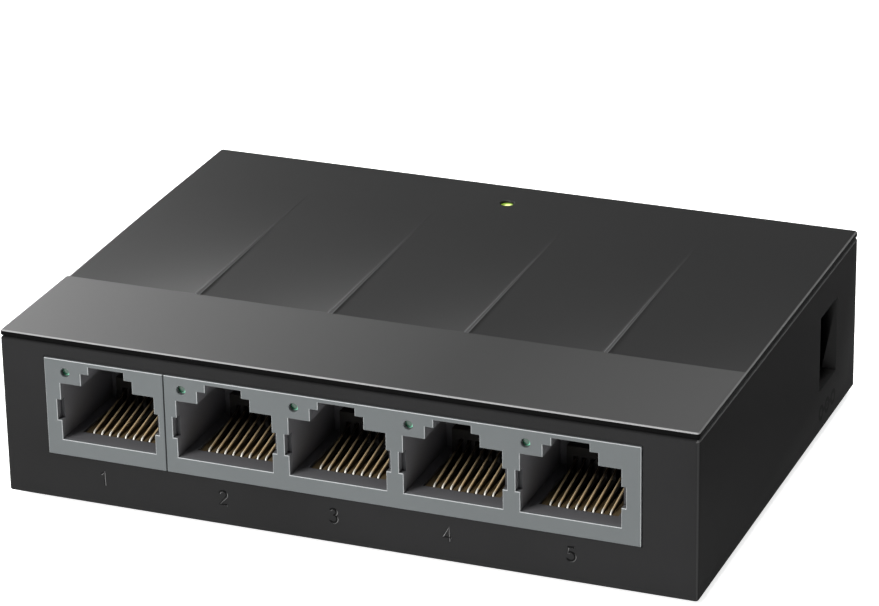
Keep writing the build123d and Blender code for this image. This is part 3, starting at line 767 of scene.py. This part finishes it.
class Cover:
    """The lid: a flat front band, then five twisted facets that fade out towards the rear."""

    corner = 0.4 * MM
    edge = 0.3 * MM
    rim = 0.7 * MM                                    # height of the visible side
    rim_chamfer = 0.08 * MM
    roof = 2.1 * MM                                   # thickness, with the plug that enters the shell
    plug_inset = 1.92 * MM
    depth = 0.45 * MM                                 # of a facet at its left front corner
    hole_radius = 0.85 * MM
    hole_edge = 0.12 * MM
    hole_depth = 1.2 * MM

    # Where the triangles' lines run: shares of an edge's or a step's width, and counts of strips.
    rim_lines = (0, 0.04, 0.13, 0.27, 0.45, 0.7, 1.0, 1.2)
    hole_lines = (0, 0.08, 0.3, 0.6, 1.0, 1.4)
    step_lines = (-0.25, 0, 0.12, 0.25, 0.37, 0.5, 0.63, 0.75, 0.88, 1.0, 1.25)
    band_strips = 6
    facet_strips = 14
    tail_strips = 4
    columns = 8

    def __init__(self):
        self.low, self.high = COVER_LOW, COVER_HIGH
        self.half_x = (self.high.x - self.low.x) / 2
        self.half_y = (self.high.y - self.low.y) / 2
        self.facet_width = 2 * self.half_x / FACETS
        pipe_low, pipe_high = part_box("power_light_pipe")
        self.hole = Vector(((pipe_low.x + pipe_high.x) / 2, (pipe_low.y + pipe_high.y) / 2))

    def inside(self, x, y):
        """Distance inwards from the outline; negative outside."""
        dx = abs(x) - (self.half_x - self.corner)
        dy = abs(y) - (self.half_y - self.corner)
        if dx > 0 and dy > 0:
            return self.corner - math.hypot(dx, dy)
        return self.corner - max(dx, dy)

    def one_facet(self, index, x, y):
        """How far one facet lies below the band: deepest at its left front corner."""
        across = (x - self.low.x) / self.facet_width - index
        along = (y - FACET_FRONT) / (FACET_REAR - FACET_FRONT)
        return self.depth * (1 - across) * (1 - min(max(along, 0), 1))

    def sunk(self, x, y):
        """How far the facets lie below the band, with rounded steps."""
        index = min(int((x - self.low.x) / self.facet_width), FACETS - 1)
        value = self.one_facet(index, x, y)
        if index > 0:
            past = (x - self.low.x) - index * self.facet_width
            before = max(self.one_facet(index - 1, x, y), 0)
            value = before + (value - before) * rounded_step(past / FACET_STEP)
        return value * rounded_step((y - FACET_FRONT) / FACET_STEP)

    def height(self, x, y):
        off_hole = math.hypot(x - self.hole.x, y - self.hole.y) - self.hole_radius
        by_rim = rounded_drop(max(self.inside(x, y), 0), self.edge)
        by_hole = rounded_drop(max(off_hole, 0), self.hole_edge)
        return self.high.z - max(by_rim, by_hole, self.sunk(x, y))

    def lines(self):
        """Closed loops and straight runs that the top's triangles keep to."""
        loops = []
        for share in self.rim_lines:
            inset = share * self.edge
            loops.append(rounded_rectangle(self.half_x - inset, self.half_y - inset, self.corner - inset))
        loops += [circle(self.hole, self.hole_radius + share * self.hole_edge) for share in self.hole_lines]
        steps = [share * FACET_STEP for share in self.step_lines]
        ys = [FACET_FRONT + step for step in steps] + [FACET_REAR]
        ys += divided(FACET_FRONT, FACET_REAR, self.facet_strips)
        ys += divided(self.low.y, FACET_FRONT, self.band_strips)
        ys += divided(FACET_REAR, self.high.y, self.tail_strips)
        xs = []
        for index in range(FACETS):
            left = self.low.x + index * self.facet_width
            if index:
                xs += [left + step for step in steps]
            xs += divided(left, left + self.facet_width, self.columns)
        runs = [[Vector((x, -self.half_y)), Vector((x, self.half_y))] for x in xs]
        runs += [[Vector((-self.half_x, y)), Vector((self.half_x, y))] for y in ys]
        return loops, runs

    def top(self):
        """The top surface as points and triangles."""
        loops, runs = self.lines()
        points, edges = [], []
        for line in loops + runs:
            first = len(points)
            points += line
            edges += [(first + i, first + i + 1) for i in range(len(line) - 1)]
            if len(line) > 2:
                edges.append((len(points) - 1, first))
        flat, _, triangles, *_ = delaunay_2d_cdt(points, edges, [], 0, 10 * ROUNDING)
        keep = []
        for triangle in triangles:
            centre = sum((flat[i] for i in triangle), Vector((0, 0))) / 3
            outside_hole = (centre - self.hole).length > HOLE_MARGIN * self.hole_radius
            if outside_hole and self.inside(centre.x, centre.y) > 0:
                keep.append(triangle)
        return [Vector((p.x, p.y, self.height(p.x, p.y))) for p in flat], keep

    def inwards(self, point, inset):
        """A point of the outline, moved in by the inset."""
        core_x, core_y = self.half_x - self.corner, self.half_y - self.corner
        core = Vector((min(max(point.x, -core_x), core_x), min(max(point.y, -core_y), core_y)))
        away = Vector((point.x, point.y)) - core
        reach = self.corner - inset
        if reach >= 0:
            return core + away.normalized() * reach
        side_x = math.copysign(1, point.x) if abs(away.x) > ROUNDING else 0
        side_y = math.copysign(1, point.y) if abs(away.y) > ROUNDING else 0
        return core + Vector((side_x, side_y)) * reach

    def mesh(self):
        points, triangles = self.top()
        work = bmesh.new()
        verts = [work.verts.new(p) for p in points]
        for triangle in triangles:
            work.faces.new([verts[i] for i in triangle])
        bmesh.ops.delete(work, geom=[v for v in work.verts if not v.link_faces], context="VERTS")
        open_edges = [e for e in work.edges if e.is_boundary]
        rim = [e for e in open_edges if self.inside(*e.verts[0].co.xy) < TOUCHING]
        well = [e for e in open_edges if (e.verts[0].co.xy - self.hole).length < 1.2 * self.hole_radius]
        bottom = self.high.z - self.rim
        profile = (
            (0, bottom + self.rim_chamfer),
            (self.rim_chamfer, bottom),
            (self.plug_inset, bottom),
            (self.plug_inset, self.high.z - self.roof),
        )
        for inset, z in profile:
            rim, verts = drawn_out(work, rim)
            for v in verts:
                place = self.inwards(v.co, inset)
                v.co = Vector((place.x, place.y, z))
        bmesh.ops.edgeloop_fill(work, edges=rim)
        well, verts = drawn_out(work, well)
        for v in verts:
            v.co.z = self.high.z - self.hole_depth
        bmesh.ops.edgeloop_fill(work, edges=well)
        bmesh.ops.recalc_face_normals(work, faces=work.faces)
        result = bpy.data.meshes.new("cover")
        work.to_mesh(result)
        work.free()
        return result


def make_cover():
    cover = Cover()
    mesh = cover.mesh()
    mark_lid(mesh, cover.half_x, cover.half_y)
    smooth(mesh, 40.0)
    add_piece("lid", mesh, cover_paint, replaces=["top_cover"])


# --- Socket housings -----------------------------------------------------------------
class Socket:
    """The sizes of one socket's opening, from its centre and its floor.

    Those of the outline are in millimetres, and outline() and pipe_centre() give metres.
    """

    steps = ((5.95, 7.14), (3.27, 8.67), (2.25, 9.64))    # half width, height above the floor
    notch = (6.49, 2.42, 5.03)                            # half width, bottom, top
    pipe = (-5.26, 8.56)                                  # from the centre, above the floor
    floor = 8.75 * MM
    pipe_radius = 0.55 * MM
    pipe_sides = 28
    window_half = 4.7 * MM                                # half the opening for the contact comb
    lip_depth = 0.9 * MM                                  # from the front face to the notches' back
    sill_depth = 2.61 * MM                                # ... to the sill's back
    pocket_depth = 13.2 * MM                              # ... to the back wall
    edge = 0.075 * MM

    @classmethod
    def outline(cls, x, notched):
        """The opening's stepped outline, anticlockwise, as (x, z)."""
        main, step, slot = cls.steps
        half, low, high = cls.notch
        notch = [(main[0], low), (half, low), (half, high), (main[0], high)] if notched else []
        right = [(main[0], 0)] + notch + [main, (step[0], main[1]), step, (slot[0], step[1]), slot]
        points = right + [(-a, b) for a, b in reversed(right)]
        return [Vector((x + a * MM, cls.floor + b * MM)) for a, b in points]

    @classmethod
    def pipe_centre(cls, x):
        return Vector((x + cls.pipe[0] * MM, cls.floor + cls.pipe[1] * MM))

    @classmethod
    def pipe_hole(cls, x):
        return circle(cls.pipe_centre(x), cls.pipe_radius, cls.pipe_sides)


def plate(outline, holes, front, back, edge):
    """A plate between two Y places, cut from an (x, z) outline with holes, with rounded edges."""
    curve = bpy.data.curves.new("plate", "CURVE")
    curve.dimensions = "2D"
    curve.fill_mode = "BOTH"
    curve.extrude = (back - front) / 2 - edge
    curve.bevel_depth = edge
    curve.bevel_resolution = 2
    curve.offset = -edge
    for loop in [outline] + holes:
        spline = curve.splines.new("POLY")
        spline.points.add(len(loop) - 1)
        for point, target in zip(spline.points, loop):
            point.co = (target.x, target.y, 0, 1)
        spline.use_cyclic_u = True
    mesh = mesh_from(curve)
    upright = Matrix(((1, 0, 0, 0), (0, 0, -1, (front + back) / 2), (0, 1, 0, 0), (0, 0, 0, 1)))
    mesh.transform(upright)
    return mesh


def make_sockets(node, name, ports):
    """One moulding: a bevelled front, the pockets behind it, and the back wall."""
    low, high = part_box(node)
    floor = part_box("circuit_board")[1].z
    middles = [port_middle(port) for port in ports]
    corners = [Vector(pair) for pair in ((low.x, floor), (high.x, floor), (high.x, high.z), (low.x, high.z))]
    lip = low.y + Socket.lip_depth
    sill = low.y + Socket.sill_depth
    pocket = low.y + Socket.pocket_depth
    pipe_holes = [Socket.pipe_hole(x) for x in middles]
    mouths = [Socket.outline(x, True) for x in middles]
    throats = [Socket.outline(x, False) for x in middles]
    meshes = [
        plate(corners, mouths + pipe_holes, low.y, lip + Socket.edge, Socket.edge),
        plate(corners, throats + pipe_holes, lip, sill, 0.0),
        pocket_walls(corners, middles, pipe_holes, floor, sill, pocket),
        plate(corners, pipe_holes, pocket, high.y, 0.0),
    ]
    mesh = joined(name, meshes)
    mark_edges(mesh, [Socket.pipe_centre(x) for x in middles])
    mark_notch_ends(mesh, lip)
    smooth(mesh)
    add_piece(name, mesh, socket_paint, replaces=[node])


def pocket_walls(corners, middles, pipe_holes, floor, sill, pocket):
    """The part of the moulding round the pockets, open below where the contact combs sit."""
    half = Socket.window_half
    outline = []
    for x in middles:
        outline += [Vector((x - half, floor)), Vector((x - half, Socket.floor))]
        outline += list(reversed(Socket.outline(x, False)))
        outline += [Vector((x + half, Socket.floor)), Vector((x + half, floor))]
    whole = [corners[0]] + outline + corners[1:]
    return plate(whole, pipe_holes, sill, pocket, 0.0)


def port_middle(port):
    low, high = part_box(f"port_{port}_contact_carrier")
    return (low.x + high.x) / 2


# --- Contact wires ----------------------------------------------------------------------
class WireTree:
    """Geometry nodes that draw one bent wire as a round rod and repeat it in a row."""

    inputs = {"Path": "Geometry", "Wires": "Int", "Pitch": "Float", "Radius": "Float", "Finish": "Material"}
    rod_sides = 14

    def __init__(self):
        self.tree = bpy.data.node_groups.new("wire_row", "GeometryNodeTree")
        self.tree.is_modifier = True
        for label, kind in self.inputs.items():
            self.tree.interface.new_socket(label, in_out="INPUT", socket_type=f"NodeSocket{kind}")
        self.tree.interface.new_socket("Row", in_out="OUTPUT", socket_type="NodeSocketGeometry")
        given = self.node("NodeGroupInput")
        rail = self.node("GeometryNodeMeshToCurve", {"Mesh": given.outputs["Path"]}).outputs[0]
        ring = self.node("GeometryNodeCurvePrimitiveCircle", {"Radius": given.outputs["Radius"]})
        ring.inputs["Resolution"].default_value = self.rod_sides
        rod = self.node("GeometryNodeCurveToMesh", {"Curve": rail, "Profile Curve": ring.outputs[0]})
        rod.inputs["Fill Caps"].default_value = True
        offset = self.node("ShaderNodeCombineXYZ", {"X": given.outputs["Pitch"]}).outputs[0]
        spread = {"Count": given.outputs["Wires"], "Offset": offset}
        line = self.node("GeometryNodeMeshLine", spread).outputs[0]
        row = self.node("GeometryNodeInstanceOnPoints", {"Points": line, "Instance": rod.outputs[0]})
        real = self.node("GeometryNodeRealizeInstances", {"Geometry": row.outputs[0]}).outputs[0]
        done = self.node("GeometryNodeSetMaterial", {"Geometry": real, "Material": given.outputs["Finish"]})
        self.node("NodeGroupOutput", {"Row": done.outputs[0]})

    def node(self, kind, links=None):
        node = self.tree.nodes.new(kind)
        for name, socket in (links or {}).items():
            self.tree.links.new(socket, node.inputs[name])
        return node

    def row(self, name, path, **values):
        """The finished row along a path of points."""
        rail = bpy.data.meshes.new(name)
        rail.from_pydata(path, [(i, i + 1) for i in range(len(path) - 1)], [])
        holder = bpy.data.objects.new(name, rail)
        modifier = holder.modifiers.new("row", "NODES")
        modifier.node_group = self.tree
        for item in self.tree.interface.items_tree:
            if item.in_out == "INPUT" and item.name in values:
                modifier[item.identifier] = values[item.name]
        return mesh_from(holder)


class Contact:
    """The bend and rise of a sprung contact, as in the CAD node."""

    count = 8
    pitch = 1.02 * MM
    radius = 0.12 * MM
    bend = 0.45 * MM
    bend_steps = 14
    rise = math.radians(11.0)
    arm_steps = 12
    bend_z = 8.25 * MM
    tip_y = -18.9 * MM

    @classmethod
    def arm(cls, x):
        """A tight bend at the front and a straight arm that rises to the rear."""
        points = []
        for i in range(cls.bend_steps + 1):
            angle = -math.pi / 2 - (math.pi - cls.rise) * i / cls.bend_steps
            y = WIRE_BEND_Y + cls.bend * math.cos(angle)
            points.append(Vector((x, y, cls.bend_z + cls.bend * math.sin(angle))))
        start = points[-1]
        rise = Vector((0, 1, math.tan(cls.rise))) * (cls.tip_y - start.y)
        return points + [start + rise * i / cls.arm_steps for i in range(1, cls.arm_steps + 1)]


def make_contacts():
    wires = WireTree()
    for port in PORTS:
        first = port_middle(port) - (Contact.count - 1) / 2 * Contact.pitch
        name = f"port_{port}_spring_wires"
        sizes = {"Wires": Contact.count, "Pitch": Contact.pitch, "Radius": Contact.radius}
        mesh = wires.row(name, Contact.arm(first), Finish=wire_paint, **sizes)
        smooth(mesh, 50.0)
        node = f"port_{port}_contact_arms"
        add_piece(name, mesh, wire_paint, f"port_{port}_spring_contacts", [node])


# --- Port numbers ---------------------------------------------------------------------
DIGIT_HEIGHT = 1.72 * MM
DIGIT_LOW = 3.55 * MM
DIGIT_OFFSETS = (-1.0, -0.56, -0.80, -0.87, -0.02)    # from each port's centre, in mm
DIGIT_MIDDLE = 0.31                                   # half a figure's width, as a share of its height
DIGIT_PROUD = 0.07 * MM
DIGIT_LINE = 0.28 * MM
ARC_STEPS = 14


def arc(centre, radius, start, end):
    turn = math.radians(end - start) / ARC_STEPS
    angles = [math.radians(start) + turn * i for i in range(ARC_STEPS + 1)]
    return [(centre[0] + radius * math.cos(a), centre[1] + radius * math.sin(a)) for a in angles]


# Strokes on a grid 0.62 wide and 1 high, each a list of points.
DIGITS = {
    1: [[(0.12, 0.80), (0.36, 1.0), (0.36, 0.0)]],
    2: [arc((0.31, 0.73), 0.27, 165, -35) + [(0.04, 0.0), (0.60, 0.0)]],
    3: [arc((0.31, 0.76), 0.24, 150, -80) + arc((0.31, 0.27), 0.28, 80, -155)],
    4: [[(0.44, 0.0), (0.44, 1.0), (0.02, 0.27), (0.62, 0.27)]],
    5: [[(0.56, 1.0), (0.12, 1.0), (0.08, 0.56)] + arc((0.29, 0.32), 0.31, 115, -150)],
}


def make_digit(number, x):
    """One raised stroke figure on the shell's front."""
    curve = bpy.data.curves.new("digit", "CURVE")
    curve.dimensions = "3D"
    curve.bevel_mode = "ROUND"
    curve.bevel_depth = DIGIT_LINE / 2
    curve.bevel_resolution = 2
    curve.use_fill_caps = True
    for stroke in DIGITS[number]:
        spline = curve.splines.new("POLY")
        spline.points.add(len(stroke) - 1)
        for point, (across, up) in zip(spline.points, stroke):
            point.co = ((across - DIGIT_MIDDLE) * DIGIT_HEIGHT, 0, up * DIGIT_HEIGHT, 1)
    mesh = mesh_from(curve)
    flat = Matrix.Diagonal((1, 2 * DIGIT_PROUD / DIGIT_LINE, 1, 1))
    mesh.transform(Matrix.Translation((x, SHELL_LOW.y, DIGIT_LOW)) @ flat)
    return mesh


def make_digits():
    places = [port_middle(port) + offset * MM for port, offset in zip(PORTS, DIGIT_OFFSETS)]
    mesh = joined("port_numbers", [make_digit(port, place) for port, place in zip(PORTS, places)])
    # The faces turned right and down are painted light: painted highlight.
    for face, mark in zip(mesh.polygons, face_marks(mesh, "edge")):
        mark.value = max(0.0, 0.8 * face.normal.x - 0.6 * face.normal.z)
    smooth(mesh, 50.0)
    add_piece("port_numbers", mesh, digit_paint)


make_case_shell()
make_digits()
make_cover()
make_sockets("port_1_jack_housing", "port_1_socket", PORTS[:1])
make_sockets("ports_2_to_5_jack_housing", "ports_2_to_5_sockets", PORTS[1:])
make_contacts()


# --- Floor and lights -------------------------------------------------------------------
FLOOR_HALF = 6.0
FLOOR_LOW = -0.02 * MM                                # just clear of the feet's flat bottoms
FLOOR_GLOW = 0.85
SKY_STRENGTH = 0.15


def make_floor():
    paint = Paint("pale_floor")
    cloud = paint.noise(6.0, 2.0, 0.5)
    white = paint.mix(cloud, shade(0.90), shade(0.93))
    material = paint.finish(
        Base_Color=white,
        Roughness=0.6,
        Emission_Color=white,
        Emission_Strength=FLOOR_GLOW,
    )
    mesh = bpy.data.meshes.new("floor")
    signs = ((-1, -1), (1, -1), (1, 1), (-1, 1))
    mesh.from_pydata([(x * FLOOR_HALF, y * FLOOR_HALF, FLOOR_LOW) for x, y in signs], [], [(0, 1, 2, 3)])
    mesh.materials.append(material)
    floor = bpy.data.objects.new("floor", mesh)
    scene.collection.objects.link(floor)


def area_light(name, place, aim, size, power):
    lamp = bpy.data.lights.new(name, "AREA")
    lamp.shape = "RECTANGLE"
    lamp.size, lamp.size_y = size
    lamp.energy = power
    light = bpy.data.objects.new(name, lamp)
    light.location = Vector(place)
    light.rotation_euler = (Vector(aim) - Vector(place)).to_track_quat("-Z", "Y").to_euler()
    scene.collection.objects.link(light)


def make_world():
    world = bpy.data.worlds.new("studio")
    world.use_nodes = True
    background = world.node_tree.nodes["Background"]
    background.inputs["Color"].default_value = (1.0, 1.0, 1.0, 1.0)
    background.inputs["Strength"].default_value = SKY_STRENGTH
    scene.world = world
    scene.view_settings.view_transform = "Standard"


make_floor()
make_world()
area_light("overhead", place=(-0.02, -0.02, 1.1), aim=(0, 0, 0), size=(0.55, 0.55), power=11.0)
area_light("back_left", place=(-0.62, 0.66, 0.36), aim=(0, 0, 0.02), size=(0.34, 0.26), power=1.9)
area_light("front_left", place=(-0.50, -0.80, 0.50), aim=(0, 0, 0.01), size=(0.5, 0.4), power=12.0)
